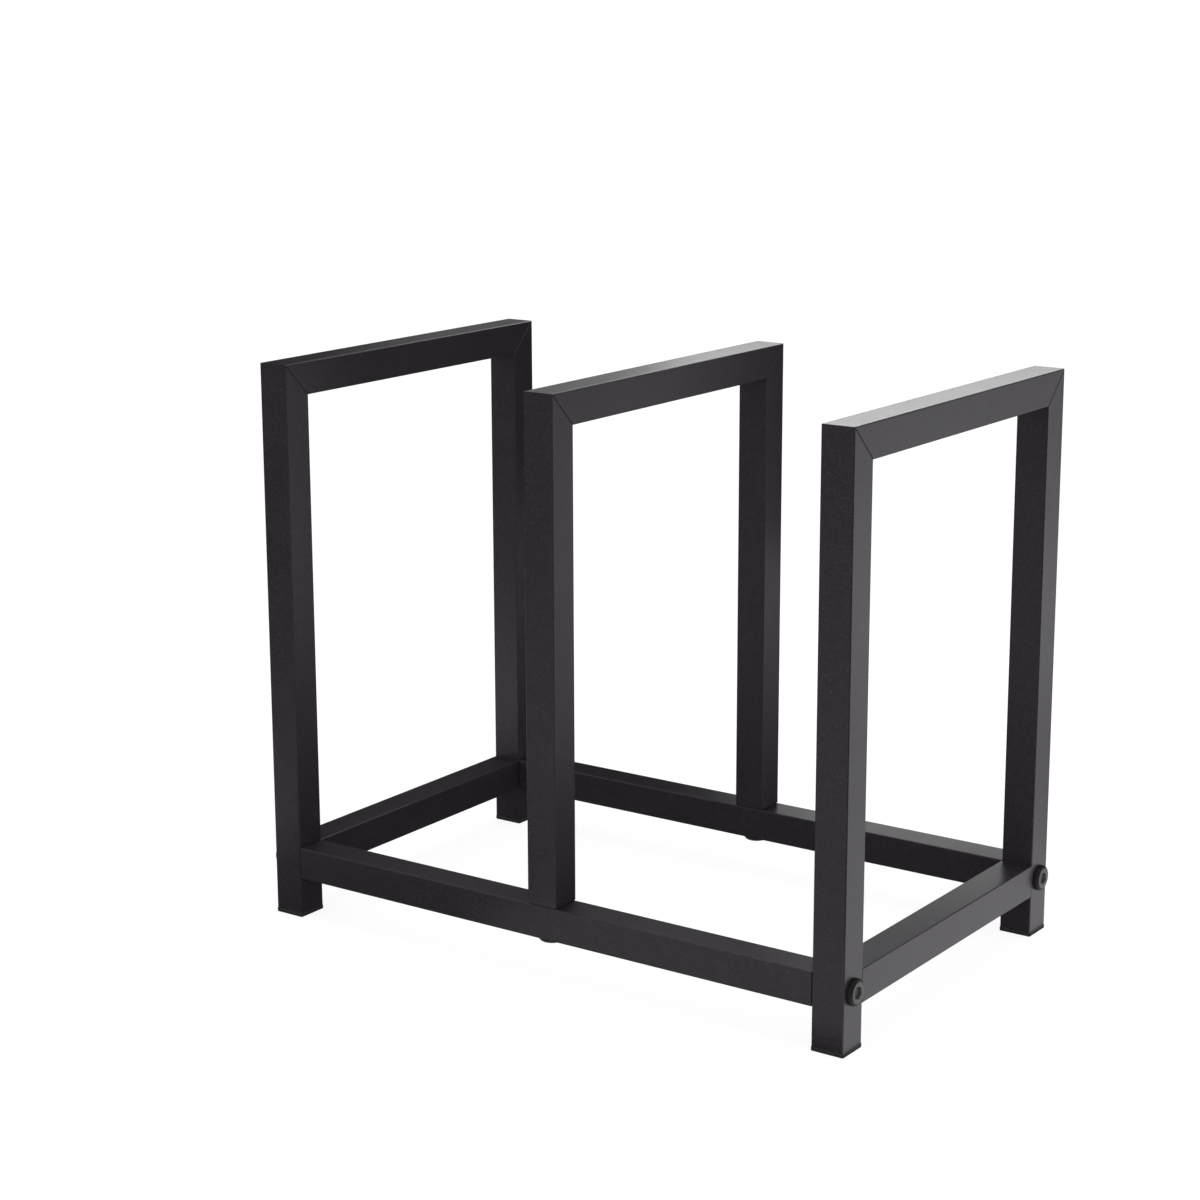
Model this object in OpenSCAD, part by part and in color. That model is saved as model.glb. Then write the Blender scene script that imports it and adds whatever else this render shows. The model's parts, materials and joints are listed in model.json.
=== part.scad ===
// Record storage stand: a low rack of square steel tube that takes records on edge.
//
// Two welded end frames stand on the floor. Each is a mitred arch of two legs and a top bar,
// with a crossbar low down between its legs. A front and a rear rail run between the end
// frames, and a welded divider arch stands on the rails. Six socket screws hold it together:
// four go sideways through the end legs into the rail ends, and two go up through the rails
// into the feet of the divider. Every threaded end is a steel insert inside the square tube.
//
// Frame: X runs along the rack (left to right seen from the front), Y runs from front to
// rear, Z is up. The origin is on the floor, in the middle of the footprint.

/* [Rack] */
// Width over the outer faces of the two end frames
rack_w = 305; // [200:1:600]
// Depth over the front and rear faces
rack_d = 184; // [100:1:320]
// Height of the top faces above the floor
rack_h = 259; // [120:1:420]
// Height of the top faces of the rails and crossbars above the floor
rail_top = 34; // [28:0.5:90]
// How far the divider stands to the right of the middle
divider_shift = 1.5; // [-60:0.5:60]

/* [Square tube] */
// Outer side of the tube
tube_side = 15; // [13:0.5:22]
// Wall thickness of the tube
tube_wall = 1.2; // [0.8:0.1:2]
// Outer radius of the tube's long edges
tube_edge_r = 0.5; // [0.3:0.1:2]
// Depth of the fine groove along each welded mitre
mitre_groove = 0.3; // [0.1:0.05:0.5]
// Width of the fine groove round each bolted tube end, where it meets the other tube
end_groove_w = 0.4; // [0.1:0.05:0.6]
// Depth of that groove, less than the tube's wall
end_groove_depth = 0.5; // [0.1:0.05:0.6]

/* [Screws] */
// Diameter of the screw's shank
screw_d = 6; // [4:0.5:6]
// Diameter of the screw's head
screw_head_d = 11.6; // [9:0.1:13]
// Height of the screw's head
screw_head_h = 2.4; // [2:0.1:4]
// Radius of the rounded rim of the head
screw_rim_r = 1.4; // [0.2:0.1:1.5]
// Hexagon socket, across flats
socket_af = 5; // [2.5:0.5:5]
// Depth of the hexagon socket
socket_depth = 1.4; // [1:0.1:4]
// Length of shank that is screwed into the threaded insert
screw_grip = 10; // [6:1:16]
// Length of the cone at the tip of the shank
screw_tip = 0.8; // [0.4:0.1:1.5]
// Gap all round between a shank and the holes that it passes through
hole_gap = 0.2; // [0.1:0.05:0.5]

/* [Threaded inserts] */
// Length of the steel insert in a tube's end
insert_len = 12; // [8:1:20]
// Radius of the insert's long edges
insert_edge_r = 0.5; // [0.2:0.1:1.5]
// Gap all round between an insert and the inside of the tube
insert_gap = 0.05; // [0.02:0.01:0.2]
// Gap all round between a shank and the insert's threaded bore
thread_gap = 0.05; // [0.02:0.01:0.1]

/* [Feet] */
// Thickness of the foot under the leg
foot_h = 2; // [1:0.5:5]
// How far the foot stands proud of the tube all round
foot_proud = 0.2; // [0.1:0.1:1]
// Radius of the foot's upright edges
foot_edge_r = 0.7; // [0.3:0.1:2]
// Length of the stem that is pushed up into the leg
stem_len = 10; // [8:1:12]
// Wall thickness of the hollow stem
stem_wall = 1.6; // [1:0.1:2.5]
// Number of fins round the stem
fin_count = 3; // [2:1:4]
// Thickness of each fin
fin_h = 1; // [0.5:0.1:1.5]
// How far the fins stand out from the stem
fin_reach = 0.5; // [0.2:0.1:1]
// Gap all round between the fins and the inside of the tube
fin_gap = 0.1; // [0.05:0.05:0.3]

/* [Hidden] */

$fn = 48;
LEFT = -1;
RIGHT = 1;
FRONT = -1;
REAR = 1;
// Cuts run this far past the faces that they open
cut_over = 1;

frame_colour = [0.19, 0.18, 0.19];
screw_colour = [0.13, 0.13, 0.14];
insert_colour = [0.62, 0.63, 0.65];
foot_colour = [0.08, 0.08, 0.09];

tube_half = tube_side / 2;
tube_bore = tube_side - 2 * tube_wall;
// Middle lines of the tubes
end_x = rack_w / 2 - tube_half;
side_y = rack_d / 2 - tube_half;
rail_z = rail_top - tube_half;
top_bar_z = rack_h - tube_half;
// Clear lengths between the end legs
rail_len = rack_w - 2 * tube_side;
crossbar_len = rack_d - 2 * tube_side;
// Screw holes and the shank that goes through one tube into its insert
hole_d = screw_d + 2 * hole_gap;
shank_len = tube_side + screw_grip;
fin_side = tube_bore - 2 * fin_gap;
stem_side = fin_side - 2 * fin_reach;

// ---- shared shapes ----

// A square with round corners, centred
module round_square(side, corner_r) {
    square([side, side - 2 * corner_r], center = true);
    square([side - 2 * corner_r, side], center = true);
    for (sx = [-1, 1], sy = [-1, 1])
        translate([sx * (side / 2 - corner_r), sy * (side / 2 - corner_r)])
            circle(r = corner_r);
}

// Section of the square tube, centred
module tube_section() {
    difference() {
        round_square(tube_side, tube_edge_r);
        square(tube_bore, center = true);
    }
}

// A length of square tube standing on z = 0
module tube(length) {
    linear_extrude(length) tube_section();
}

// A length of square tube along Y, centred
module tube_along_y(length) {
    translate([0, length / 2, 0]) rotate([90, 0, 0]) tube(length);
}

// A length of square tube along X, centred
module tube_along_x(length) {
    translate([-length / 2, 0, 0]) rotate([0, 90, 0]) tube(length);
}

// Cutter for the groove round a bolted tube end: the tube stands on z = 0, centred
module end_groove() {
    translate([0, 0, -cut_over])
        linear_extrude(cut_over + end_groove_w)
            difference() {
                square(tube_side + 2 * cut_over, center = true);
                square(tube_side - 2 * end_groove_depth, center = true);
            }
}

// Moves to the 45 degree plane of the front mitre: its Y runs down the mitre from the
// arch's outer edge, and its Z points to the top bar's side
module at_front_mitre() {
    translate([0, -rack_d / 2, rack_h]) rotate([-45, 0, 0]) children();
}

// Half space beyond the front mitre plane: up = 1 takes the top bar's side, up = -1 the leg's
module mitre_waste(up) {
    reach = 2 * tube_side;
    at_front_mitre()
        translate([0, reach / 2, up * reach / 2])
            cube([reach, 2 * reach, reach], center = true);
}

// The fine V grooves along the mitre, one on each side face of the arch
module mitre_grooves() {
    groove_side = mitre_groove * sqrt(2);
    for (sx = [-1, 1])
        at_front_mitre()
            translate([sx * tube_half, tube_half * sqrt(2), 0])
                rotate([0, 45, 0])
                    cube([groove_side, 2 * tube_side, groove_side], center = true);
}

// Copies a front shape to the rear where side is REAR
module to_side(side) {
    mirror([0, side == REAR ? 1 : 0, 0]) children();
}

// Front leg of an arch, centred on x = 0, from its lower end up to the mitre
module arch_leg(bottom_z) {
    difference() {
        translate([0, -side_y, bottom_z]) tube(rack_h - bottom_z);
        mitre_waste(1);
        mitre_grooves();
    }
}

// Top bar of an arch, centred on x = 0, mitred at both ends
module arch_top_bar() {
    difference() {
        translate([0, 0, top_bar_z]) tube_along_y(rack_d);
        for (side = [FRONT, REAR])
            to_side(side) {
                mitre_waste(-1);
                mitre_grooves();
            }
    }
}

// ---- end frames ----

module end_leg(end, side) {
    color(frame_colour)
        translate([end * end_x, 0, 0])
            to_side(side)
                difference() {
                    arch_leg(foot_h);
                    translate([-tube_half - cut_over, -side_y, rail_z])
                        rotate([0, 90, 0])
                            cylinder(d = hole_d, h = tube_side + 2 * cut_over);
                }
}

module end_top_bar(end) {
    color(frame_colour) translate([end * end_x, 0, 0]) arch_top_bar();
}

module end_crossbar(end) {
    color(frame_colour) translate([end * end_x, 0, rail_z]) tube_along_y(crossbar_len);
}

module left_front_leg() end_leg(LEFT, FRONT);
module left_rear_leg() end_leg(LEFT, REAR);
module left_top_bar() end_top_bar(LEFT);
module left_crossbar() end_crossbar(LEFT);
module right_front_leg() end_leg(RIGHT, FRONT);
module right_rear_leg() end_leg(RIGHT, REAR);
module right_top_bar() end_top_bar(RIGHT);
module right_crossbar() end_crossbar(RIGHT);

// ---- divider arch, standing on the rails ----

module divider_leg(side) {
    color(frame_colour)
        translate([divider_shift, 0, 0])
            to_side(side)
                difference() {
                    arch_leg(rail_top);
                    translate([0, -side_y, rail_top]) end_groove();
                }
}

module divider_front_leg() divider_leg(FRONT);
module divider_rear_leg() divider_leg(REAR);
module divider_top_bar() color(frame_colour) translate([divider_shift, 0, 0]) arch_top_bar();

// ---- rails ----

module rail(side) {
    color(frame_colour)
        translate([0, side * side_y, rail_z])
            difference() {
                tube_along_x(rail_len);
                for (end = [LEFT, RIGHT])
                    translate([end * rail_len / 2, 0, 0]) rotate([0, -end * 90, 0]) end_groove();
                translate([divider_shift, 0, -tube_half - cut_over])
                    cylinder(d = hole_d, h = tube_side + 2 * cut_over);
            }
}

module front_rail() rail(FRONT);
module rear_rail() rail(REAR);

// ---- feet ----

// A moulded foot centred on the origin, with a hollow finned stem
module foot() {
    fin_pitch = stem_len / fin_count;
    linear_extrude(foot_h) round_square(tube_side + 2 * foot_proud, foot_edge_r);
    translate([0, 0, foot_h])
        difference() {
            union() {
                linear_extrude(stem_len) square(stem_side, center = true);
                for (i = [1 : fin_count])
                    translate([0, 0, i * fin_pitch - fin_h])
                        linear_extrude(fin_h) square(fin_side, center = true);
            }
            linear_extrude(stem_len + cut_over)
                square(stem_side - 2 * stem_wall, center = true);
        }
}

module end_foot(end, side) {
    color(foot_colour) translate([end * end_x, side * side_y, 0]) foot();
}

module left_front_foot() end_foot(LEFT, FRONT);
module left_rear_foot() end_foot(LEFT, REAR);
module right_front_foot() end_foot(RIGHT, FRONT);
module right_rear_foot() end_foot(RIGHT, REAR);

// ---- screw joints ----
// A joint is drawn with its screw pointing down: the tube that the screw goes through has its
// outer face at z = 0 and its inner face at z = -tube_side, where the insert's face lies.

module screw() {
    shank_r = screw_d / 2;
    tip_z = -shank_len;
    difference() {
        union() {
            rotate_extrude() screw_head_section();
            translate([0, 0, tip_z + screw_tip])
                cylinder(d = screw_d, h = shank_len - screw_tip);
            translate([0, 0, tip_z])
                cylinder(r1 = shank_r - screw_tip, r2 = shank_r, h = screw_tip);
        }
        translate([0, 0, screw_head_h - socket_depth])
            linear_extrude(socket_depth + cut_over)
                circle(d = socket_af / cos(30), $fn = 6);
    }
}

// Half section of the head: flat on top, with a rounded rim
module screw_head_section() {
    head_r = screw_head_d / 2;
    square([head_r, screw_head_h - screw_rim_r]);
    square([head_r - screw_rim_r, screw_head_h]);
    intersection() {
        translate([head_r - screw_rim_r, screw_head_h - screw_rim_r]) circle(r = screw_rim_r);
        square([head_r, screw_head_h]);
    }
}

module insert() {
    translate([0, 0, -tube_side - insert_len])
        linear_extrude(insert_len)
            difference() {
                round_square(tube_bore - 2 * insert_gap, insert_edge_r);
                circle(d = screw_d + 2 * thread_gap);
            }
}

// Places a joint on the outer face of an end leg, with its screw along the rail
module at_rail_joint(end, side) {
    translate([end * rack_w / 2, side * side_y, rail_z]) rotate([0, end * 90, 0]) children();
}

// Places a joint under a rail, with its screw pointing up into the divider
module at_divider_joint(side) {
    translate([divider_shift, side * side_y, rail_top - tube_side])
        rotate([180, 0, 0])
            children();
}

module rail_insert(end, side) {
    color(insert_colour) at_rail_joint(end, side) insert();
}

module divider_insert(side) {
    color(insert_colour) at_divider_joint(side) insert();
}

module rail_screw(end, side) {
    color(screw_colour) at_rail_joint(end, side) screw();
}

module divider_screw(side) {
    color(screw_colour) at_divider_joint(side) screw();
}

module left_front_insert() rail_insert(LEFT, FRONT);
module left_rear_insert() rail_insert(LEFT, REAR);
module right_front_insert() rail_insert(RIGHT, FRONT);
module right_rear_insert() rail_insert(RIGHT, REAR);
module divider_front_insert() divider_insert(FRONT);
module divider_rear_insert() divider_insert(REAR);
module left_front_screw() rail_screw(LEFT, FRONT);
module left_rear_screw() rail_screw(LEFT, REAR);
module right_front_screw() rail_screw(RIGHT, FRONT);
module right_rear_screw() rail_screw(RIGHT, REAR);
module divider_front_screw() divider_screw(FRONT);
module divider_rear_screw() divider_screw(REAR);

left_front_leg();
left_rear_leg();
left_top_bar();
left_crossbar();
right_front_leg();
right_rear_leg();
right_top_bar();
right_crossbar();
divider_front_leg();
divider_rear_leg();
divider_top_bar();
front_rail();
rear_rail();
left_front_foot();
left_rear_foot();
right_front_foot();
right_rear_foot();
left_front_insert();
left_rear_insert();
right_front_insert();
right_rear_insert();
divider_front_insert();
divider_rear_insert();
left_front_screw();
left_rear_screw();
right_front_screw();
right_rear_screw();
divider_front_screw();
divider_rear_screw();
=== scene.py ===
"""Looks of a record storage stand: a low rack of square steel tube in black powder coat.

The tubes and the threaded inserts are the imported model's own solids with a finish. The socket
screws and the moulded feet are modelled here and stand for the plain solids. All lengths are in
metres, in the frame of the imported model: +X along the rails, +Y to the rear, +Z up.
"""

import json
import math

import bmesh
import bpy
from bpy.props import (FloatProperty, FloatVectorProperty, IntProperty, PointerProperty)
from bpy.types import Operator, Panel, PropertyGroup
from mathutils import Matrix, Vector


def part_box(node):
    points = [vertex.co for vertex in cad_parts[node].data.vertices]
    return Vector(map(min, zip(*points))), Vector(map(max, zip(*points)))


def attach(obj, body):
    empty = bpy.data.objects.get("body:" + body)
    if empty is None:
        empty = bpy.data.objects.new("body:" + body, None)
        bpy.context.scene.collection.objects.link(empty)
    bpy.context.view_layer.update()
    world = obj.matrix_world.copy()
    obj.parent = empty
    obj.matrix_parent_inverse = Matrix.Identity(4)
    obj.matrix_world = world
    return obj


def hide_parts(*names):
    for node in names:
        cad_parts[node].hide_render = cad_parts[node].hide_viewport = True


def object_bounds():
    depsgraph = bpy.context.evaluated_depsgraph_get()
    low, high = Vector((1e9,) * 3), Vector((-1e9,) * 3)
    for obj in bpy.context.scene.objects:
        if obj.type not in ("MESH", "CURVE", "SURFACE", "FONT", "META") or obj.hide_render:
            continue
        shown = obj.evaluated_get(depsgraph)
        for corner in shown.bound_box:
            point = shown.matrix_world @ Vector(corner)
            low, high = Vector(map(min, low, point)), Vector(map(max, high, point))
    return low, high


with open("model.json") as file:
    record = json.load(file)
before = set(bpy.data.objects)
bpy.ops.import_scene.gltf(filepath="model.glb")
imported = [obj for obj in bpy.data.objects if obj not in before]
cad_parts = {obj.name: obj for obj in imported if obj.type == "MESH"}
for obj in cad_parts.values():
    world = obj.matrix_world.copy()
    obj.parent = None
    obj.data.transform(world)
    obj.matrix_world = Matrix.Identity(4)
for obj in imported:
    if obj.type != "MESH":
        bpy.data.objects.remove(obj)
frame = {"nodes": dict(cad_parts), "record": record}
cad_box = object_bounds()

bl_info = {
    "name": "Record storage stand",
    "version": (1, 0, 0),
    "blender": (4, 5, 0),
    "location": "3D View > Sidebar > Stand",
    "description": "Finishes a rack of powder-coated square tube, with its screws and feet",
    "category": "Object",
}

MM = 0.001
SHARP_ANGLE = math.radians(32)
SCREWS_PIECE = "socket_screws"


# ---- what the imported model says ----

def nodes_in_slot(slot):
    """The names of the model's nodes that take their finish from one material slot."""
    subparts = frame["record"]["subparts"]
    return [part["node"] for part in subparts if part["material_slot"] == slot]


def box_size(node):
    low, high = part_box(node)
    return high - low


def slot_colour(slot):
    """The base colour that the record gives to a material slot."""
    materials = frame["record"]["materials"]
    return next(entry["base_color"] for entry in materials if entry["slot"] == slot)


SCREWS = nodes_in_slot("screw_black")
FEET = nodes_in_slot("foot_plastic")


# ---- node graphs ----

class Wire:
    """A node's output that can stand in a sum: each operator adds the Math node for it."""

    def __init__(self, graph, socket):
        self.graph = graph
        self.socket = socket

    def maths(self, operation, *values):
        return self.graph.add("ShaderNodeMath", {"operation": operation}, dict(enumerate(values)))

    def __add__(self, other):
        return self.maths("ADD", self, other)

    def __radd__(self, other):
        return self.maths("ADD", other, self)

    def __sub__(self, other):
        return self.maths("SUBTRACT", self, other)

    def __rsub__(self, other):
        return self.maths("SUBTRACT", other, self)

    def __mul__(self, other):
        return self.maths("MULTIPLY", self, other)

    def __truediv__(self, other):
        return self.maths("DIVIDE", self, other)

    def __lt__(self, other):
        return self.maths("LESS_THAN", self, other)

    def __gt__(self, other):
        return self.maths("GREATER_THAN", self, other)

    def __abs__(self):
        return self.maths("ABSOLUTE", self)

    def least(self, other):
        return self.maths("MINIMUM", self, other)

    def root(self):
        return self.maths("SQRT", self)

    def sine(self):
        return self.maths("SINE", self)

    def fraction(self):
        return self.maths("FRACT", self)

    def clamped(self):
        return self.maths("MINIMUM", self.maths("MAXIMUM", self, 0.0), 1.0)


def pick(sockets, key):
    """The socket in use that has this name, or this place among those in use."""
    in_use = [socket for socket in sockets if socket.enabled]
    if isinstance(key, int):
        return in_use[key]
    return next(socket for socket in in_use if socket.name == key)


class Graph:
    """A node tree that is being built."""

    def __init__(self, tree):
        self.tree = tree

    def add(self, kind, settings=(), inputs=(), output=0):
        """Adds a node, makes its settings, feeds its inputs and returns one of its outputs."""
        node = self.tree.nodes.new(kind)
        for name, value in dict(settings).items():
            if name == "stops":
                self.set_stops(node.color_ramp, value)
            else:
                setattr(node, name, value)
        for name, value in dict(inputs).items():
            self.feed(pick(node.inputs, name), value)
        return Wire(self, pick(node.outputs, output)) if node.outputs else node

    def feed(self, socket, value):
        """Links a wire, or each wire of a list, to a socket, or sets the socket's own value."""
        for item in value if isinstance(value, list) else [value]:
            if isinstance(item, Wire):
                self.tree.links.new(item.socket, socket)
            else:
                socket.default_value = item

    @staticmethod
    def set_stops(ramp, stops):
        """Gives a colour ramp its stops, as pairs of a position and a grey level."""
        for index, (position, level) in enumerate(stops):
            if index < len(ramp.elements):
                stop = ramp.elements[index]
                stop.position = position
            else:
                stop = ramp.elements.new(position)
            stop.color = (level, level, level, 1.0)

    def vector(self, x=0.0, y=0.0, z=0.0):
        return self.add("ShaderNodeCombineXYZ", {}, {"X": x, "Y": y, "Z": z})

    def axes(self, vector):
        """The X, Y and Z wires of a vector."""
        return [self.add("ShaderNodeSeparateXYZ", {}, {"Vector": vector}, axis) for axis in "XYZ"]

    def noise(self, place, feature, detail=2.0, roughness=0.5):
        """Smooth noise from 0 to 1 whose features are about the given length across."""
        return self.add("ShaderNodeTexNoise", {}, {
            "Vector": place, "Scale": 1 / feature, "Detail": detail, "Roughness": roughness})

    def ramp(self, value, *stops):
        return self.add("ShaderNodeValToRGB", {"stops": stops}, {"Fac": value})

    def tint(self, factor, first, second):
        """Mixes two colours by a factor."""
        return self.add("ShaderNodeMix", {"data_type": "RGBA"}, {
            "Factor": factor, "A": first, "B": second})

    def bump(self, height, depth, normal=None):
        """A bump of the given depth in metres where the height goes from 0 to 1."""
        inputs = {"Height": height, "Distance": depth}
        if normal is not None:
            inputs["Normal"] = normal
        return self.add("ShaderNodeBump", {}, inputs)


def shade(colour, factor):
    """A colour made lighter or darker by a factor, with its alpha."""
    return (*[channel * factor for channel in colour], 1.0)


def new_finish(name):
    """A new material, the graph of its nodes and its shader node."""
    material = bpy.data.materials.new(name)
    material.use_nodes = True
    graph = Graph(material.node_tree)
    shader = material.node_tree.nodes["Principled BSDF"]
    return material, graph, shader


def dress(graph, shader, colour, roughness, normal):
    """Feeds a shader the three things that change over every finish."""
    graph.feed(shader.inputs["Base Color"], colour)
    graph.feed(shader.inputs["Roughness"], roughness)
    graph.feed(shader.inputs["Normal"], normal)


def show_in_viewport(material, colour, roughness, metallic=0.0):
    """The look of a material where the viewport shows solid shading."""
    material.diffuse_color = (*colour, 1.0)
    material.roughness = roughness
    material.metallic = metallic


# ---- finishes ----

def powder_coat(coat):
    """Satin black powder coat: a fine mottled grain, a slow orange peel and sparse specks."""
    material, graph, shader = new_finish("powder_coat")
    place = graph.add("ShaderNodeTexCoord", output="Object")
    grain = graph.noise(place, coat.grain_size, detail=3.0, roughness=0.6)
    mottle_field = graph.noise(place, coat.mottle_size, detail=1.0)
    peel = graph.noise(place, coat.peel_size, detail=1.0)
    cloud = graph.noise(place, coat.cloud_size, detail=2.0)
    speck_field = graph.noise(place, coat.speck_size, detail=0.0)
    mottle = graph.ramp(mottle_field, (0.3, 0.0), (0.7, 1.0))
    specks = graph.ramp(speck_field, (0.76, 0.0), (0.84, 1.0))

    mottle_share, cloud_share, speck_share = 0.75, 0.25, 0.6
    dark, light, speck_light = 0.65, 1.35, 3.6
    grain_sway, cloud_sway = 0.14, 0.05
    colour = graph.tint(mottle * mottle_share + cloud * cloud_share,
                        shade(coat.colour, dark), shade(coat.colour, light))
    colour = graph.tint(specks * speck_share, colour, shade(coat.colour, speck_light))
    roughness = coat.roughness + (grain - 0.5) * grain_sway + (cloud - 0.5) * cloud_sway
    normal = graph.bump(peel, coat.peel_depth)
    normal = graph.bump(grain, coat.grain_depth, normal)

    dress(graph, shader, colour, roughness, normal)
    shader.inputs["IOR"].default_value = coat.gloss_index
    shader.inputs["Specular Tint"].default_value = (*coat.gloss_tint, 1.0)
    show_in_viewport(material, coat.colour, coat.roughness)
    return material


def blackened_steel(screws):
    """Dull black oxide on a turned screw, oiled on the head's flat face, with painted light in its
    hexagon socket: a lighter colour there, so the shaded recess reads lit.
    """
    material, graph, shader = new_finish("screw_black")
    place = graph.add("ShaderNodeAttribute", {"attribute_name": "screw_place"}, output="Vector")
    x, y, z = graph.axes(place)
    ring_pitch, bloom_size, grit_size = 0.22 * MM, 2.5 * MM, 0.25 * MM
    radius = (x * x + y * y).root()
    rings = (radius * (2 * math.pi / ring_pitch)).sine()
    bloom = graph.noise(place, bloom_size, detail=4.0, roughness=0.6)
    grit = graph.noise(place, grit_size, detail=2.0)
    on_head = z > 0.0
    below_face, inside_face = 0.05 * MM, 0.5 * MM
    face_r = screws.head_diameter / 2 - screws.rim_radius
    fade = screws.rim_radius * 0.25
    film = ((face_r + fade - radius) / fade).clamped()
    # Painted light: this mask picks the hexagon socket, which gets a lighter colour than the oxide
    # so the shaded recess reads lit
    painted_socket_light = (on_head * (z < screws.head_height - below_face)
                 * (radius < face_r - inside_face))

    dark, light = 0.75, 1.25
    bloom_sway, grit_sway = 0.18, 0.1
    ring_depth, grit_depth = 2.0e-6, 6.0e-6
    colour = graph.tint(bloom, shade(screws.colour, dark), shade(screws.colour, light))
    # Painted light in the socket: the lighter colour stands in for light in the recess
    colour = graph.tint(painted_socket_light, colour, (*screws.socket_colour, 1.0))
    roughness = screws.roughness + (bloom - 0.5) * bloom_sway + (grit - 0.5) * grit_sway
    normal = graph.bump(rings * on_head * 0.5 + 0.5, ring_depth)
    normal = graph.bump(grit, grit_depth, normal)

    dress(graph, shader, colour, roughness, normal)
    graph.feed(shader.inputs["Coat Weight"], film * screws.film_weight)
    shader.inputs["Coat Roughness"].default_value = screws.film_roughness
    shader.inputs["Coat IOR"].default_value = screws.film_index
    shader.inputs["Specular IOR Level"].default_value = screws.gloss_level
    show_in_viewport(material, screws.colour, screws.roughness)
    return material


def moulded_plastic(feet):
    """Matt black polyethylene with the spark-eroded grain of its mould."""
    material, graph, shader = new_finish("foot_plastic")
    place = graph.add("ShaderNodeTexCoord", output="Object")
    flow_size, grain_depth = 6.0 * MM, 12.0e-6
    grain = graph.noise(place, feet.grain_size, detail=2.0, roughness=0.65)
    flow = graph.noise(place, flow_size, detail=2.0)

    dark, light = 0.85, 1.2
    grain_sway, flow_sway = 0.14, 0.08
    colour = graph.tint(flow, shade(feet.colour, dark), shade(feet.colour, light))
    roughness = feet.roughness + (grain - 0.5) * grain_sway + (flow - 0.5) * flow_sway
    normal = graph.bump(grain, grain_depth)

    dress(graph, shader, colour, roughness, normal)
    show_in_viewport(material, feet.colour, feet.roughness)
    return material


def drawn_steel(inserts):
    """Bare drawn bar: fine lines and faint stains."""
    material, graph, shader = new_finish("insert_steel")
    place = graph.add("ShaderNodeTexCoord", output="Object")
    drawn_out = (0.08, 1.0, 1.0)
    line_width, line_depth, stain_size = 0.2 * MM, 4.0e-6, 3.0 * MM
    stretched = graph.add("ShaderNodeMapping", {}, {"Vector": place, "Scale": drawn_out})
    lines = graph.noise(stretched, line_width, detail=3.0, roughness=0.7)
    stain = graph.noise(place, stain_size, detail=3.0)

    dark, light = 0.8, 1.1
    line_sway, stain_sway = 0.2, 0.15
    colour = graph.tint(stain, shade(inserts.colour, dark), shade(inserts.colour, light))
    roughness = inserts.roughness + (lines - 0.5) * line_sway + (stain - 0.5) * stain_sway
    normal = graph.bump(lines, line_depth)

    dress(graph, shader, colour, roughness, normal)
    shader.inputs["Metallic"].default_value = 1.0
    show_in_viewport(material, inserts.colour, inserts.roughness, metallic=1.0)
    return material


def backdrop_paint(studio):
    """Plain matt acrylic for the floor, lit from behind as on a light table."""
    material, graph, shader = new_finish("backdrop")
    x, y, _ = graph.axes(graph.add("ShaderNodeTexCoord", output="Object"))
    outwards = (x * x + y * y).root() / (studio.floor_radius + studio.cove_radius)
    glow = graph.ramp(outwards, (0.2, 0.975), (0.9, 1.0))
    graph.feed(shader.inputs["Emission Color"], glow)
    shader.inputs["Emission Strength"].default_value = studio.glow_level
    shader.inputs["Base Color"].default_value = (*studio.floor_colour, 1.0)
    shader.inputs["Roughness"].default_value = 0.95
    shader.inputs["Specular IOR Level"].default_value = 0.0
    return material


# ---- settings ----

class CoatSettings(PropertyGroup):
    """The powder coat on the tubes."""
    colour: FloatVectorProperty(
        name="Colour", description="Base colour of the coat", subtype="COLOR", size=3,
        min=0.0, max=1.0, default=slot_colour("powder_coat"))
    gloss_tint: FloatVectorProperty(
        name="Gloss tint", description="Tint of the light that the coat mirrors",
        subtype="COLOR", size=3, min=0.0, max=1.0, default=(1.0, 0.95, 1.0))
    roughness: FloatProperty(
        name="Roughness", description="Mean roughness of the satin coat",
        subtype="FACTOR", min=0.0, max=1.0, default=0.36)
    gloss_index: FloatProperty(
        name="Gloss index", description="Refractive index of the coat's skin",
        min=1.0, max=2.0, default=1.5)
    grain_size: FloatProperty(
        name="Grain size", description="Width of the coat's fine grain",
        unit="LENGTH", min=0.0001, default=0.45 * MM)
    grain_depth: FloatProperty(
        name="Grain depth", description="Height of the coat's fine grain",
        unit="LENGTH", min=0.0, default=0.012 * MM)
    mottle_size: FloatProperty(
        name="Mottle size", description="Width of the fine mottling in the coat's colour",
        unit="LENGTH", min=0.0001, default=0.9 * MM)
    peel_size: FloatProperty(
        name="Orange peel size", description="Width of the slow waves in the coat",
        unit="LENGTH", min=0.0001, default=2.5 * MM)
    peel_depth: FloatProperty(
        name="Orange peel depth", description="Height of the slow waves in the coat",
        unit="LENGTH", min=0.0, default=0.02 * MM)
    cloud_size: FloatProperty(
        name="Cloud size", description="Width of the faint clouds in the coat's colour",
        unit="LENGTH", min=0.001, default=18.0 * MM)
    speck_size: FloatProperty(
        name="Speck spacing", description="Spacing of the lighter specks in the coat",
        unit="LENGTH", min=0.0001, default=0.7 * MM)


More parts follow.
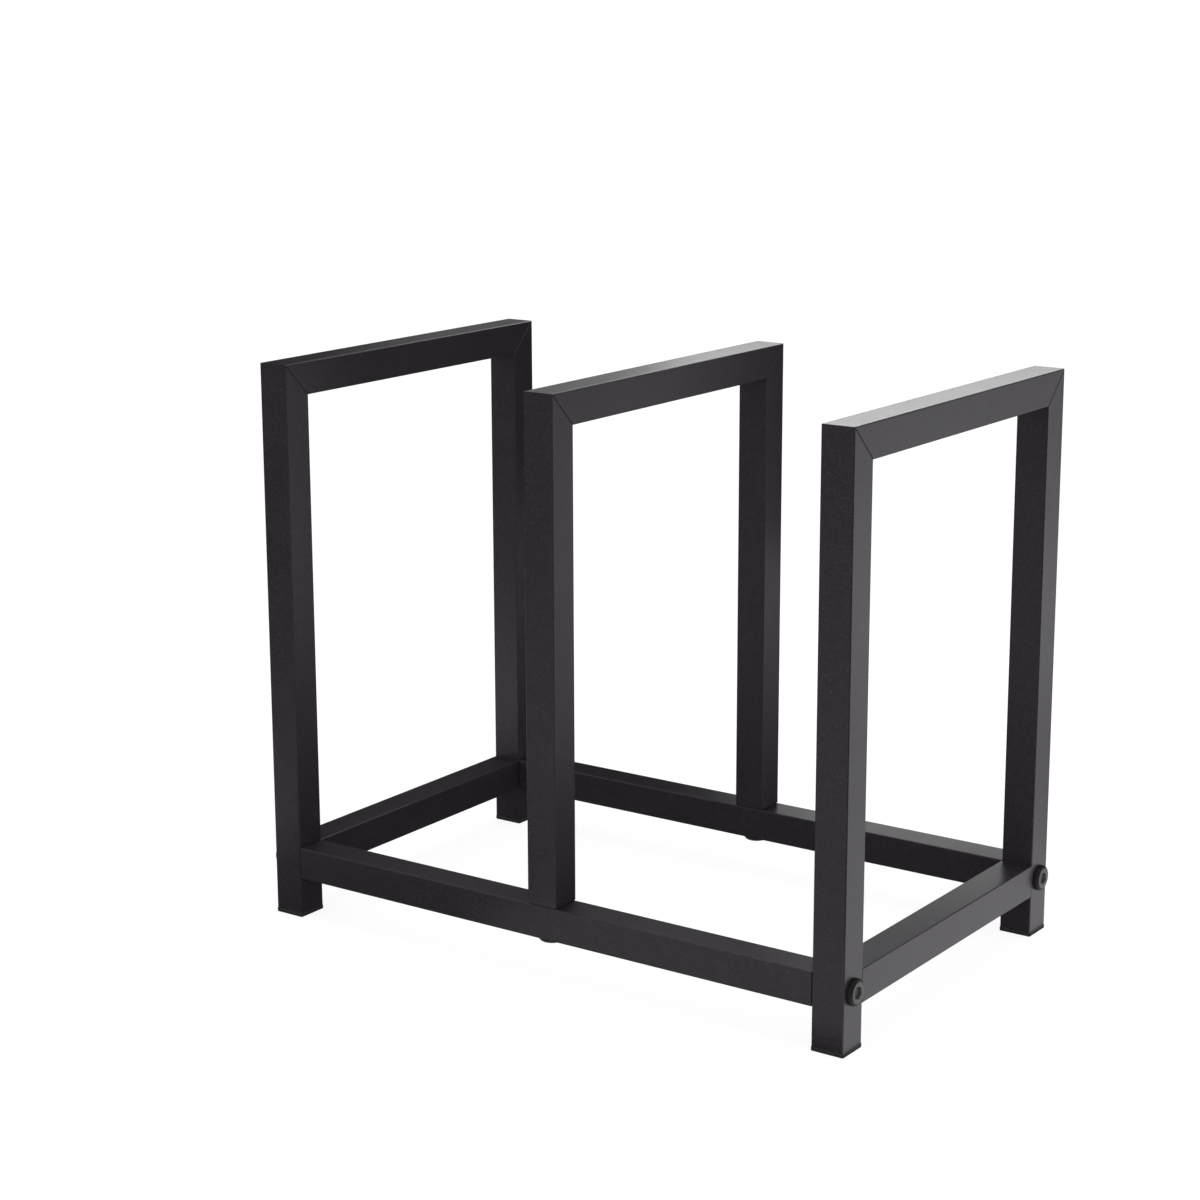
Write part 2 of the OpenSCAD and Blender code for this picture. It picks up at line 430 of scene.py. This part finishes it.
class ScrewSettings(PropertyGroup):
    """The six socket screws."""
    head_diameter: FloatProperty(
        name="Head diameter", description="Diameter of the screw's head",
        unit="LENGTH", default=sorted(box_size(SCREWS[0]))[1])
    head_height: FloatProperty(
        name="Head height", description="Height of the head above its seat",
        unit="LENGTH", default=2.4 * MM)
    rim_radius: FloatProperty(
        name="Rim radius", description="Radius of the head's rounded rim",
        unit="LENGTH", default=1.4 * MM)
    socket_flats: FloatProperty(
        name="Socket", description="Hexagon socket, across flats",
        unit="LENGTH", default=5.0 * MM)
    socket_depth: FloatProperty(
        name="Socket depth", description="Depth of the hexagon socket",
        unit="LENGTH", default=1.4 * MM)
    shank_diameter: FloatProperty(
        name="Shank diameter", description="Outer diameter of the thread",
        unit="LENGTH", default=6.0 * MM)
    thread_pitch: FloatProperty(
        name="Thread pitch", description="Rise of the thread in one turn",
        unit="LENGTH", default=1.0 * MM)
    thread_depth: FloatProperty(
        name="Thread depth", description="Depth of the thread's groove",
        unit="LENGTH", default=0.6 * MM)
    tip_length: FloatProperty(
        name="Tip length", description="Length of the cone at the end of the shank",
        unit="LENGTH", default=0.8 * MM)
    segments: IntProperty(
        name="Segments", description="Faces round the screw", min=12, default=48)
    seed: IntProperty(
        name="Seed", description="Seed for how far each screw is turned", default=4)
    colour: FloatVectorProperty(
        name="Colour", description="Base colour of the black oxide", subtype="COLOR", size=3,
        min=0.0, max=1.0, default=slot_colour("screw_black"))
    # Painted light: a lighter colour for the hexagon socket, so the shaded recess reads lit
    socket_colour: FloatVectorProperty(
        name="Socket light colour", description="Painted light in the hexagon socket, lighter than the oxide",
        subtype="COLOR", size=3, min=0.0, max=1.0, default=(0.06, 0.058, 0.06))
    roughness: FloatProperty(
        name="Roughness", description="Mean roughness of the oxide",
        subtype="FACTOR", min=0.0, max=1.0, default=0.5)
    gloss_level: FloatProperty(
        name="Gloss level", description="Specular level of the dull oxide",
        subtype="FACTOR", min=0.0, max=1.0, default=0.2)
    film_weight: FloatProperty(
        name="Film weight", description="Strength of the oil film on the head's flat face",
        subtype="FACTOR", min=0.0, max=1.0, default=0.8)
    film_roughness: FloatProperty(
        name="Film roughness", description="Roughness of the oil film",
        subtype="FACTOR", min=0.0, max=1.0, default=0.34)
    film_index: FloatProperty(
        name="Film index", description="Refractive index of the oil film",
        min=1.0, max=2.0, default=1.48)


class FootSettings(PropertyGroup):
    """The four moulded feet."""
    cap_height: FloatProperty(
        name="Cap height", description="Thickness of the foot under the leg",
        unit="LENGTH", default=2.0 * MM)
    edge_radius: FloatProperty(
        name="Edge radius", description="Radius of the cap's upright edges",
        unit="LENGTH", default=0.7 * MM)
    stem_side: FloatProperty(
        name="Stem side", description="Side of the square stem inside the leg",
        unit="LENGTH", default=11.4 * MM)
    stem_wall: FloatProperty(
        name="Stem wall", description="Wall thickness of the hollow stem",
        unit="LENGTH", default=1.6 * MM)
    fin_reach: FloatProperty(
        name="Fin reach", description="How far the fins stand out from the stem",
        unit="LENGTH", default=0.5 * MM)
    fin_count: IntProperty(
        name="Fins", description="Number of fins round the stem", min=1, default=3)
    grain_size: FloatProperty(
        name="Grain size", description="Width of the moulded grain",
        unit="LENGTH", default=0.3 * MM)
    colour: FloatVectorProperty(
        name="Colour", description="Base colour of the plastic", subtype="COLOR", size=3,
        min=0.0, max=1.0, default=slot_colour("foot_plastic"))
    roughness: FloatProperty(
        name="Roughness", description="Mean roughness of the plastic",
        subtype="FACTOR", min=0.0, max=1.0, default=0.55)


class InsertSettings(PropertyGroup):
    """The steel inserts inside the tubes."""
    colour: FloatVectorProperty(
        name="Colour", description="Base colour of the bare steel", subtype="COLOR", size=3,
        min=0.0, max=1.0, default=slot_colour("insert_steel"))
    roughness: FloatProperty(
        name="Roughness", description="Mean roughness of the steel",
        subtype="FACTOR", min=0.0, max=1.0, default=0.35)


class StudioSettings(PropertyGroup):
    """The floor, the lights and the camera."""
    floor_colour: FloatVectorProperty(
        name="Floor colour", description="Colour of the plain floor", subtype="COLOR", size=3,
        min=0.0, max=1.0, default=(0.18, 0.18, 0.18))
    floor_radius: FloatProperty(
        name="Floor radius", description="Radius of the flat part of the floor",
        unit="LENGTH", default=2.6)
    cove_radius: FloatProperty(
        name="Cove radius", description="Radius of the curve between floor and wall",
        unit="LENGTH", default=1.2)
    wall_height: FloatProperty(
        name="Wall height", description="Height of the wall round the floor",
        unit="LENGTH", default=3.0)
    glow_level: FloatProperty(
        name="Glow level", description="Light that the floor and wall give by themselves",
        min=0.0, default=0.91)
    sky_level: FloatProperty(
        name="Sky level", description="Brightness of the light from above",
        min=0.0, default=1.2)
    front_level: FloatProperty(
        name="Front level", description="Brightness that the coat mirrors from the front",
        min=0.0, default=0.6)


# ---- geometry ----

def add_piece(name, mesh, material, replaced):
    """Adds a finished mesh as a piece that rides on the rack and stands for the model's nodes."""
    piece = bpy.data.objects.new(name, mesh)
    bpy.context.scene.collection.objects.link(piece)
    mesh.materials.clear()
    mesh.materials.append(material)
    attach(piece, "root")
    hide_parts(*replaced)


def finish_nodes(slot, material):
    """Gives the model's own nodes of one slot their material."""
    for node in nodes_in_slot(slot):
        for material_slot in frame["nodes"][node].material_slots:
            material_slot.material = material


def screw_seats(head_height):
    """Each screw's seat on its tube, and the direction that its head faces."""
    middle = (cad_box[0] + cad_box[1]) / 2
    seats = []
    for node in SCREWS:
        low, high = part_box(node)
        centre = (low + high) / 2
        size = high - low
        along = max(range(3), key=lambda axis: size[axis])
        aim = Vector((0.0, 0.0, 0.0))
        aim[along] = math.copysign(1.0, centre[along] - middle[along])
        seats.append((centre + aim * (size[along] / 2 - head_height), aim))
    return seats


def screws_tree():
    """A tree that turns one screw from its sizes and sets it, realized, on every seat point."""
    lengths = ("Head Diameter", "Head Height", "Rim Radius", "Socket Flats", "Socket Depth",
               "Shank Diameter", "Shank Length", "Thread Pitch", "Thread Depth", "Tip Length")
    tree = bpy.data.node_groups.new("screws_on_seats", "GeometryNodeTree")
    tree.interface.new_socket("Seats", in_out="INPUT", socket_type="NodeSocketGeometry")
    for name in lengths:
        tree.interface.new_socket(name, in_out="INPUT", socket_type="NodeSocketFloat")
    for name in ("Segments", "Seed"):
        tree.interface.new_socket(name, in_out="INPUT", socket_type="NodeSocketInt")
    tree.interface.new_socket("Material", in_out="INPUT", socket_type="NodeSocketMaterial")
    tree.interface.new_socket("Screws", in_out="OUTPUT", socket_type="NodeSocketGeometry")
    graph = Graph(tree)
    group = tree.nodes.new("NodeGroupInput")
    given = {socket.name: Wire(graph, socket) for socket in group.outputs if socket.name}

    head_r = given["Head Diameter"] / 2
    head_h = given["Head Height"]
    rim_r = given["Rim Radius"]
    shank_r = given["Shank Diameter"] / 2
    shank_l = given["Shank Length"]
    tip_l = given["Tip Length"]
    pitch = given["Thread Pitch"]
    face_r = head_r - rim_r
    tip_r = shank_r - tip_l
    cone_z = tip_l - shank_l
    lathe = graph.add("GeometryNodeCurvePrimitiveCircle", {}, {
        "Resolution": given["Segments"], "Radius": shank_r})

    def point(radius, height):
        """A point of the profile. A swept profile's X adds to the lathe's radius, its Y is down."""
        return graph.vector(radius - shank_r, 0.0 - height)

    def turned(profile):
        return graph.add("GeometryNodeCurveToMesh", {}, {
            "Curve": lathe, "Profile Curve": profile})

    def line(start, end):
        return graph.add("GeometryNodeCurvePrimitiveLine", {}, {
            "Start": point(*start), "End": point(*end)})

    def fine_line(start, end, steps):
        return graph.add("GeometryNodeResampleCurve", {}, {
            "Curve": line(start, end), "Count": steps})

    rim_points = 7
    rim_arc = graph.add("GeometryNodeCurveArc", {}, {
        "Resolution": rim_points, "Radius": rim_r,
        "Start Angle": -math.pi / 2, "Sweep Angle": math.pi / 2})
    rim = graph.add("GeometryNodeTransform", {}, {
        "Geometry": rim_arc, "Translation": point(face_r, head_h - rim_r)})
    steps_per_turn = 8
    shank_steps = (shank_l - tip_l) / pitch * steps_per_turn + 1
    tip_steps = tip_l / pitch * steps_per_turn + 1
    profile = [
        line((0.0, head_h), (face_r, head_h)),
        rim,
        line((head_r, head_h - rim_r), (head_r, 0.0)),
        line((head_r, 0.0), (shank_r, 0.0)),
        fine_line((shank_r, 0.0), (shank_r, cone_z), shank_steps),
        fine_line((shank_r, cone_z), (tip_r, 0.0 - shank_l), tip_steps),
        line((tip_r, 0.0 - shank_l), (0.0, 0.0 - shank_l)),
    ]
    weld_distance = 2.0e-6
    skins = graph.add("GeometryNodeJoinGeometry", {}, {
        "Geometry": [turned(part) for part in profile]})
    blank = graph.add("GeometryNodeMergeByDistance", {}, {
        "Geometry": skins, "Distance": weld_distance})

    x, y, z = graph.axes(graph.add("GeometryNodeInputPosition"))
    radius = (x * x + y * y).root()
    turn = y.maths("ARCTAN2", y, x) / (2 * math.pi)
    phase = (z / pitch - turn).fraction()
    # Steeper than a plain zigzag, and cut off at both ends: the thread has a flat crest and root
    flank_slope, flank_drop = 1.35, 0.1
    flank = (abs(phase * 2 - 1) * flank_slope - flank_drop).clamped()
    neck = 1.5 * MM
    run_in = ((0.0 - z - neck) / pitch).clamped()
    thread_r = shank_r - given["Thread Depth"] * (1 - flank) * run_in
    never_zero = 1.0e-9
    shrink = radius.least(thread_r) / (radius + never_zero)
    threaded = graph.add("GeometryNodeSetPosition", {}, {
        "Geometry": blank, "Selection": z < -neck,
        "Position": graph.vector(x * shrink, y * shrink, z)})

    corner_r = given["Socket Flats"] / math.sqrt(3)
    floor_z = head_h - given["Socket Depth"]
    spare = 1.0 * MM
    hexagon = graph.add("GeometryNodeMeshCylinder", {}, {
        "Vertices": 6, "Radius": corner_r, "Depth": given["Socket Depth"] + spare})
    hexagon = graph.add("GeometryNodeTransform", {}, {
        "Geometry": hexagon,
        "Translation": graph.vector(z=floor_z + (given["Socket Depth"] + spare) / 2)})
    mouth_sides, mouth_height, mouth_sink = 48, 0.6 * MM, 0.3 * MM
    mouth_out, mouth_in = 0.35 * MM, 0.25 * MM
    mouth = graph.add("GeometryNodeMeshCone", {}, {
        "Vertices": mouth_sides, "Radius Top": corner_r + mouth_out,
        "Radius Bottom": corner_r - mouth_in, "Depth": mouth_height})
    mouth = graph.add("GeometryNodeTransform", {}, {
        "Geometry": mouth, "Translation": graph.vector(z=head_h - mouth_sink)})
    drill_sides, drill_share, drill_height, drill_sink = 24, 0.45, 0.7 * MM, 0.6 * MM
    drill_point = graph.add("GeometryNodeMeshCone", {}, {
        "Vertices": drill_sides, "Radius Top": given["Socket Flats"] * drill_share,
        "Radius Bottom": 0.0, "Depth": drill_height})
    drill_point = graph.add("GeometryNodeTransform", {}, {
        "Geometry": drill_point, "Translation": graph.vector(z=floor_z - drill_sink)})
    bored = threaded
    for cutter in (hexagon, mouth, drill_point):
        bored = graph.add("GeometryNodeMeshBoolean", {
            "operation": "DIFFERENCE", "solver": "EXACT"}, {"Mesh 1": bored, "Mesh 2": cutter})

    smooth = graph.add("GeometryNodeSetShadeSmooth", {"domain": "FACE"}, {"Geometry": bored})
    sharp = graph.add("GeometryNodeInputMeshEdgeAngle") > SHARP_ANGLE
    shaded = graph.add("GeometryNodeSetShadeSmooth", {"domain": "EDGE"}, {
        "Geometry": smooth, "Selection": sharp, "Shade Smooth": False})
    placed = graph.add("GeometryNodeStoreNamedAttribute", {
        "data_type": "FLOAT_VECTOR", "domain": "POINT"}, {
        "Geometry": shaded, "Name": "screw_place",
        "Value": graph.add("GeometryNodeInputPosition")})

    aim = graph.add("GeometryNodeInputNamedAttribute", {
        "data_type": "FLOAT_VECTOR"}, {"Name": "aim"})
    facing = graph.add("FunctionNodeAlignRotationToVector", {"axis": "Z"}, {"Vector": aim})
    angle = graph.add("FunctionNodeRandomValue", {"data_type": "FLOAT"}, {
        "Min": 0.0, "Max": 2 * math.pi, "Seed": given["Seed"]})
    spin = graph.add("FunctionNodeAxisAngleToRotation", {}, {
        "Axis": (0.0, 0.0, 1.0), "Angle": angle})
    rotation = graph.add("FunctionNodeRotateRotation", {"rotation_space": "LOCAL"}, {
        "Rotation": facing, "Rotate By": spin})
    copies = graph.add("GeometryNodeInstanceOnPoints", {}, {
        "Points": given["Seats"], "Instance": placed, "Rotation": rotation})
    solid = graph.add("GeometryNodeRealizeInstances", {}, {"Geometry": copies})
    finished = graph.add("GeometryNodeSetMaterial", {}, {
        "Geometry": solid, "Material": given["Material"]})
    output = tree.nodes.new("NodeGroupOutput")
    graph.feed(output.inputs["Screws"], finished)
    return tree


def run_tree(tree, mesh, values):
    """The plain mesh that a geometry tree makes of a mesh, with the tree's inputs set by name."""
    carrier = bpy.data.objects.new("carrier", mesh)
    bpy.context.scene.collection.objects.link(carrier)
    modifier = carrier.modifiers.new("geometry", "NODES")
    modifier.node_group = tree
    for item in tree.interface.items_tree:
        if item.in_out == "INPUT" and item.name in values:
            modifier[item.identifier] = values[item.name]
    depsgraph = bpy.context.evaluated_depsgraph_get()
    made = bpy.data.meshes.new_from_object(carrier.evaluated_get(depsgraph))
    carrier.modifiers.remove(modifier)
    bpy.data.objects.remove(carrier)
    return made


def square_ring(bm, half, corner_r, z):
    """A ring of vertices on a square with rounded corners, counter-clockwise from above."""
    steps = 6
    ring = []
    for quarter in range(4):
        start = quarter * math.pi / 2
        corner = Matrix.Rotation(start, 3, "Z") @ Vector((half - corner_r, half - corner_r, 0.0))
        for step in range(steps + 1):
            angle = start + step / steps * math.pi / 2
            ring.append(bm.verts.new((
                corner.x + corner_r * math.cos(angle), corner.y + corner_r * math.sin(angle), z)))
    return ring


def loft(bm, rings):
    """Skins a list of rings from the first to the last and closes both ends."""
    bm.faces.new(reversed(rings[0]))
    for lower, upper in zip(rings, rings[1:]):
        for index in range(len(lower)):
            following = (index + 1) % len(lower)
            bm.faces.new((lower[index], lower[following], upper[following], upper[index]))
    bm.faces.new(rings[-1])


def foot_mesh(node, feet):
    """One moulded foot: a cap with a lip underneath, and a hollow stem with slanted fins."""
    low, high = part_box(node)
    cap_half = (high.x - low.x) / 2
    stem_half = feet.stem_side / 2
    fin_half = stem_half + feet.fin_reach
    bore_half = stem_half - feet.stem_wall
    cap_h = feet.cap_height
    stem_top = high.z - low.z
    fin_pitch = (stem_top - cap_h) / feet.fin_count
    lip = 1.3 * MM
    dish = 0.4 * MM
    soft = 0.25 * MM
    small_r = 0.4 * MM
    fin_start = 0.55
    fin_low, fin_high, fin_end = 0.15 * MM, 0.5 * MM, 1.1 * MM
    outline = [
        (cap_half - lip - dish, small_r, dish),
        (cap_half - lip, small_r, 0.0),
        (cap_half - 2 * soft, feet.edge_radius - soft, 0.0),
        (cap_half - soft / 2, feet.edge_radius, soft / 3),
        (cap_half, feet.edge_radius, soft),
        (cap_half, feet.edge_radius, cap_h - soft),
        (cap_half - soft / 3, feet.edge_radius, cap_h - soft / 3),
        (cap_half - soft, feet.edge_radius - soft / 2, cap_h),
        (stem_half, small_r, cap_h),
    ]
    for fin in range(feet.fin_count):
        fin_z = cap_h + (fin + fin_start) * fin_pitch
        outline += [
            (stem_half, small_r, fin_z),
            (fin_half, small_r, fin_z + fin_low),
            (fin_half, small_r, fin_z + fin_high),
            (stem_half, small_r, fin_z + fin_end),
        ]
    outline += [
        (stem_half - soft, small_r, stem_top),
        (bore_half, small_r, stem_top),
        (bore_half - soft, small_r, cap_h),
    ]
    bm = bmesh.new()
    loft(bm, [square_ring(bm, half, corner_r, z) for half, corner_r, z in outline])
    bmesh.ops.translate(bm, verts=bm.verts, vec=((low.x + high.x) / 2, (low.y + high.y) / 2, low.z))
    bmesh.ops.recalc_face_normals(bm, faces=bm.faces)
    mesh = bpy.data.meshes.new(node + "_moulded")
    bm.to_mesh(mesh)
    bm.free()
    mesh.shade_smooth()
    mesh.set_sharp_from_angle(angle=SHARP_ANGLE)
    return mesh


# ---- operators ----

class STAND_OT_coat_tubes(Operator):
    """Give the thirteen tubes their powder coat"""
    bl_idname = "stand.coat_tubes"
    bl_label = "Coat the tubes"

    def execute(self, context):
        finish_nodes("powder_coat", powder_coat(context.scene.stand.coat))
        return {"FINISHED"}


class STAND_OT_finish_inserts(Operator):
    """Give the threaded inserts their bare steel"""
    bl_idname = "stand.finish_inserts"
    bl_label = "Finish the inserts"

    def execute(self, context):
        finish_nodes("insert_steel", drawn_steel(context.scene.stand.inserts))
        return {"FINISHED"}


class STAND_OT_turn_screws(Operator):
    """Turn the six socket screws and set them on their seats"""
    bl_idname = "stand.turn_screws"
    bl_label = "Turn the screws"

    def execute(self, context):
        screws = context.scene.stand.screws
        seats = screw_seats(screws.head_height)
        points = bpy.data.meshes.new("screw_seats")
        points.from_pydata([seat for seat, _ in seats], [], [])
        aims = points.attributes.new("aim", "FLOAT_VECTOR", "POINT")
        for item, (_, aim) in zip(aims.data, seats):
            item.vector = aim
        material = blackened_steel(screws)
        mesh = run_tree(screws_tree(), points, {
            "Head Diameter": screws.head_diameter,
            "Head Height": screws.head_height,
            "Rim Radius": screws.rim_radius,
            "Socket Flats": screws.socket_flats,
            "Socket Depth": screws.socket_depth,
            "Shank Diameter": screws.shank_diameter,
            "Shank Length": max(box_size(SCREWS[0])) - screws.head_height,
            "Thread Pitch": screws.thread_pitch,
            "Thread Depth": screws.thread_depth,
            "Tip Length": screws.tip_length,
            "Segments": screws.segments,
            "Seed": screws.seed,
            "Material": material,
        })
        if not mesh.polygons:
            raise RuntimeError("the screw tree made no faces")
        add_piece(SCREWS_PIECE, mesh, material, SCREWS)
        return {"FINISHED"}


class STAND_OT_mould_feet(Operator):
    """Mould the four feet under the end legs"""
    bl_idname = "stand.mould_feet"
    bl_label = "Mould the feet"

    def execute(self, context):
        feet = context.scene.stand.feet
        material = moulded_plastic(feet)
        for node in FEET:
            add_piece(node + "_moulded", foot_mesh(node, feet), material, [node])
        return {"FINISHED"}


class STAND_OT_build_studio(Operator):
    """Lay the floor and set the lights and the camera"""
    bl_idname = "stand.build_studio"
    bl_label = "Build the studio"

    def execute(self, context):
        studio = context.scene.stand.studio
        lay_floor(studio)
        light_sky(studio)
        hang_lights()
        lay_lights()
        set_cards()
        set_camera()
        context.scene.view_settings.view_transform = "Standard"
        return {"FINISHED"}


# ---- studio ----

ABOVE_FLOOR = 0.6 * MM


def lay_floor(studio):
    """A round floor whose edge curves up into a wall, so that no view shows a horizon."""
    sides = 96
    steps = 12
    flat_rings = (0.25, 0.5, 0.75)
    outline = [(studio.floor_radius * share, 0.0) for share in flat_rings]
    for step in range(steps + 1):
        angle = step / steps * math.pi / 2
        outline.append((studio.floor_radius + studio.cove_radius * math.sin(angle),
                        studio.cove_radius * (1 - math.cos(angle))))
    outline.append((studio.floor_radius + studio.cove_radius, studio.wall_height))
    bm = bmesh.new()
    rings = [[bm.verts.new((radius * math.cos(2 * math.pi * side / sides),
                            radius * math.sin(2 * math.pi * side / sides), height))
              for side in range(sides)] for radius, height in outline]
    bm.faces.new(rings[0])
    for inner, outer in zip(rings, rings[1:]):
        for side in range(sides):
            following = (side + 1) % sides
            bm.faces.new((inner[side], outer[side], outer[following], inner[following]))
    mesh = bpy.data.meshes.new("floor")
    bm.to_mesh(mesh)
    bm.free()
    mesh.shade_smooth()
    mesh.materials.append(backdrop_paint(studio))
    floor = bpy.data.objects.new("floor", mesh)
    bpy.context.scene.collection.objects.link(floor)
    floor.visible_glossy = False


def light_sky(studio):
    """A soft light from above, and a low one from the front that shows in the rack's gloss."""
    world = bpy.data.worlds.new("soft_sky")
    world.use_nodes = True
    bpy.context.scene.world = world
    graph = Graph(world.node_tree)
    direction = graph.add("ShaderNodeTexCoord", output="Generated")
    _, y, z = graph.axes(direction)
    front_top = 0.6
    above = graph.ramp(z, (0.5, 0.0), (0.95, 1.0))
    ahead = graph.ramp(0.0 - y, (0.1, 0.0), (0.6, 1.0)) * (z > 0.0) * (z < front_top)
    background = world.node_tree.nodes["Background"]
    background.inputs["Color"].default_value = (1.0, 1.0, 1.0, 1.0)
    graph.feed(background.inputs["Strength"],
               above * studio.sky_level + ahead * studio.front_level)


def add_panel(name, place, rotation, size, power):
    """A soft rectangular light, out of the camera's sight."""
    light = bpy.data.lights.new(name, "AREA")
    light.shape = "RECTANGLE"
    light.size, light.size_y = size
    light.energy = power
    lamp = bpy.data.objects.new(name, light)
    lamp.matrix_world = Matrix.LocRotScale(Vector(place), rotation, None)
    lamp.visible_camera = False
    bpy.context.scene.collection.objects.link(lamp)
    return lamp


def hang_lights():
    """The hung panels: each has a middle, a point that it faces, its size and its watts."""
    panels = {
        "back_panel": ((-0.10, 0.52, 0.50), (0.145, 0.0, 0.26), (0.42, 0.28), 1.28),
        "low_back_panel": ((-0.13, 0.56, 0.19), (0.05, 0.0, 0.04), (0.28, 0.12), 0.207),
        "left_back_panel": ((-0.45, 0.54, 0.53), (0.0, 0.0, 0.26), (0.24, 0.18), 0.13),
        "right_panel": ((0.50, 0.45, 0.10), (0.15, 0.0, 0.18), (0.5, 0.3), 0.42),
    }
    for name, (middle, target, size, power) in panels.items():
        facing = Vector(target) - Vector(middle)
        add_panel(name, middle, facing.to_track_quat("-Z", "Y"), size, power)


def lay_lights():
    """The panels on the floor, which the tubes' sides mirror, and two that light the screws
    alone: each has a middle, its size and its watts."""
    panels = {
        "left_floor_panel": ((-0.46, 0.04), (0.46, 0.48), 0.7),
        "rear_floor_panel": ((-0.34, 0.56), (0.50, 0.48), 0.76),
        "front_floor_panel": ((-0.10, -0.58), (0.50, 0.64), 0.41),
        "front_rail_panel": ((0.06, -0.165), (0.24, 0.11), 0.036),
    }
    head_panels = {
        "front_head_panel": ((-0.011, -0.080), (0.05, 0.05), 0.014),
        "rear_head_panel": ((-0.011, 0.092), (0.05, 0.05), 0.014),
    }
    screws_only = bpy.data.collections.new("lit_screws")
    screws_only.objects.link(bpy.data.objects[SCREWS_PIECE])
    face_up = Matrix.Rotation(math.pi, 3, "X")
    for name, ((x, y), size, power) in {**panels, **head_panels}.items():
        lamp = add_panel(name, (x, y, ABOVE_FLOOR), face_up, size, power)
        if name in head_panels:
            lamp.light_linking.receiver_collection = screws_only


def add_card(name, corners, glow):
    """A flat card out of the camera's sight: a black one, or a glowing one that only gloss sees."""
    mesh = bpy.data.meshes.new(name)
    mesh.from_pydata(corners, [], [(0, 1, 2, 3)])
    material, _, shader = new_finish(name)
    shader.inputs["Base Color"].default_value = (0.0, 0.0, 0.0, 1.0)
    shader.inputs["Specular IOR Level"].default_value = 0.0
    shader.inputs["Emission Color"].default_value = (1.0, 1.0, 1.0, 1.0)
    shader.inputs["Emission Strength"].default_value = glow
    mesh.materials.append(material)
    card = bpy.data.objects.new(name, mesh)
    bpy.context.scene.collection.objects.link(card)
    card.visible_camera = False
    if glow > 0.0:
        card.visible_diffuse = False
        card.visible_shadow = False


def set_cards():
    """A black card behind the rack that shades its low bars from the back panels, and a glowing
    one on the floor beside it that its right-hand sides mirror."""
    left, right, low, high, back = -0.26, 0.16, 0.12, 0.29, 0.25
    add_card("shade_card", [
        (left, back, low), (right, back, low), (right, back, high), (left, back, high)], 0.0)
    near, far, front, rear = 0.154, 0.60, -0.18, 0.14
    # The mirrored floor runs this much further back for each metre to the right, and its
    # blurred edge wants the card wider at the far end
    slant, widening, glow = 1.76, 0.14, 1.12
    run = slant * (far - near)
    add_card("right_floor_card", [
        (near, front, ABOVE_FLOOR), (far, front + run - widening, ABOVE_FLOOR),
        (far, rear + run + widening, ABOVE_FLOOR), (near, rear, ABOVE_FLOOR)], glow)


def set_camera():
    """The photograph's viewpoint, fitted to the rack's straight edges."""
    image_side = 1200
    focal_pixels = 2658.57
    place = Vector((0.65096, -0.96914, 0.43052))
    yaw, pitch, roll = (math.radians(angle) for angle in (-35.167, 13.397, -0.185))
    forward = Vector((math.sin(yaw) * math.cos(pitch), math.cos(yaw) * math.cos(pitch),
                      -math.sin(pitch)))
    level_right = Vector((math.cos(yaw), -math.sin(yaw), 0.0))
    level_up = level_right.cross(forward)
    right = math.cos(roll) * level_right + math.sin(roll) * level_up
    up = math.cos(roll) * level_up - math.sin(roll) * level_right
    data = bpy.data.cameras.new("camera")
    data.sensor_fit = "HORIZONTAL"
    data.lens = focal_pixels / image_side * data.sensor_width
    camera = bpy.data.objects.new("camera", data)
    turned = Matrix((right, up, -forward)).transposed().to_4x4()
    camera.matrix_world = Matrix.Translation(place) @ turned
    bpy.context.scene.collection.objects.link(camera)
    bpy.context.scene.camera = camera


# ---- panel and registration ----

class StandSettings(PropertyGroup):
    """All settings of the stand."""
    coat: PointerProperty(type=CoatSettings)
    screws: PointerProperty(type=ScrewSettings)
    feet: PointerProperty(type=FootSettings)
    inserts: PointerProperty(type=InsertSettings)
    studio: PointerProperty(type=StudioSettings)


STEPS = (
    (STAND_OT_coat_tubes, "coat"),
    (STAND_OT_finish_inserts, "inserts"),
    (STAND_OT_turn_screws, "screws"),
    (STAND_OT_mould_feet, "feet"),
    (STAND_OT_build_studio, "studio"),
)


class STAND_PT_sidebar(Panel):
    """The stand's settings, each above the operator that uses them"""
    bl_idname = "STAND_PT_sidebar"
    bl_label = "Record storage stand"
    bl_space_type = "VIEW_3D"
    bl_region_type = "UI"
    bl_category = "Stand"

    def draw(self, context):
        for operator, group_name in STEPS:
            group = getattr(context.scene.stand, group_name)
            box = self.layout.box()
            for name in group.__annotations__:
                box.prop(group, name)
            box.operator(operator.bl_idname)


CLASSES = (
    CoatSettings,
    ScrewSettings,
    FootSettings,
    InsertSettings,
    StudioSettings,
    StandSettings,
    *(operator for operator, _ in STEPS),
    STAND_PT_sidebar,
)


def register():
    for cls in CLASSES:
        bpy.utils.register_class(cls)
    bpy.types.Scene.stand = PointerProperty(type=StandSettings)


def unregister():
    del bpy.types.Scene.stand
    for cls in reversed(CLASSES):
        bpy.utils.unregister_class(cls)


def main():
    register()
    bpy.ops.stand.coat_tubes()
    bpy.ops.stand.finish_inserts()
    bpy.ops.stand.turn_screws()
    bpy.ops.stand.mould_feet()
    bpy.ops.stand.build_studio()


if __name__ == "__main__":
    main()
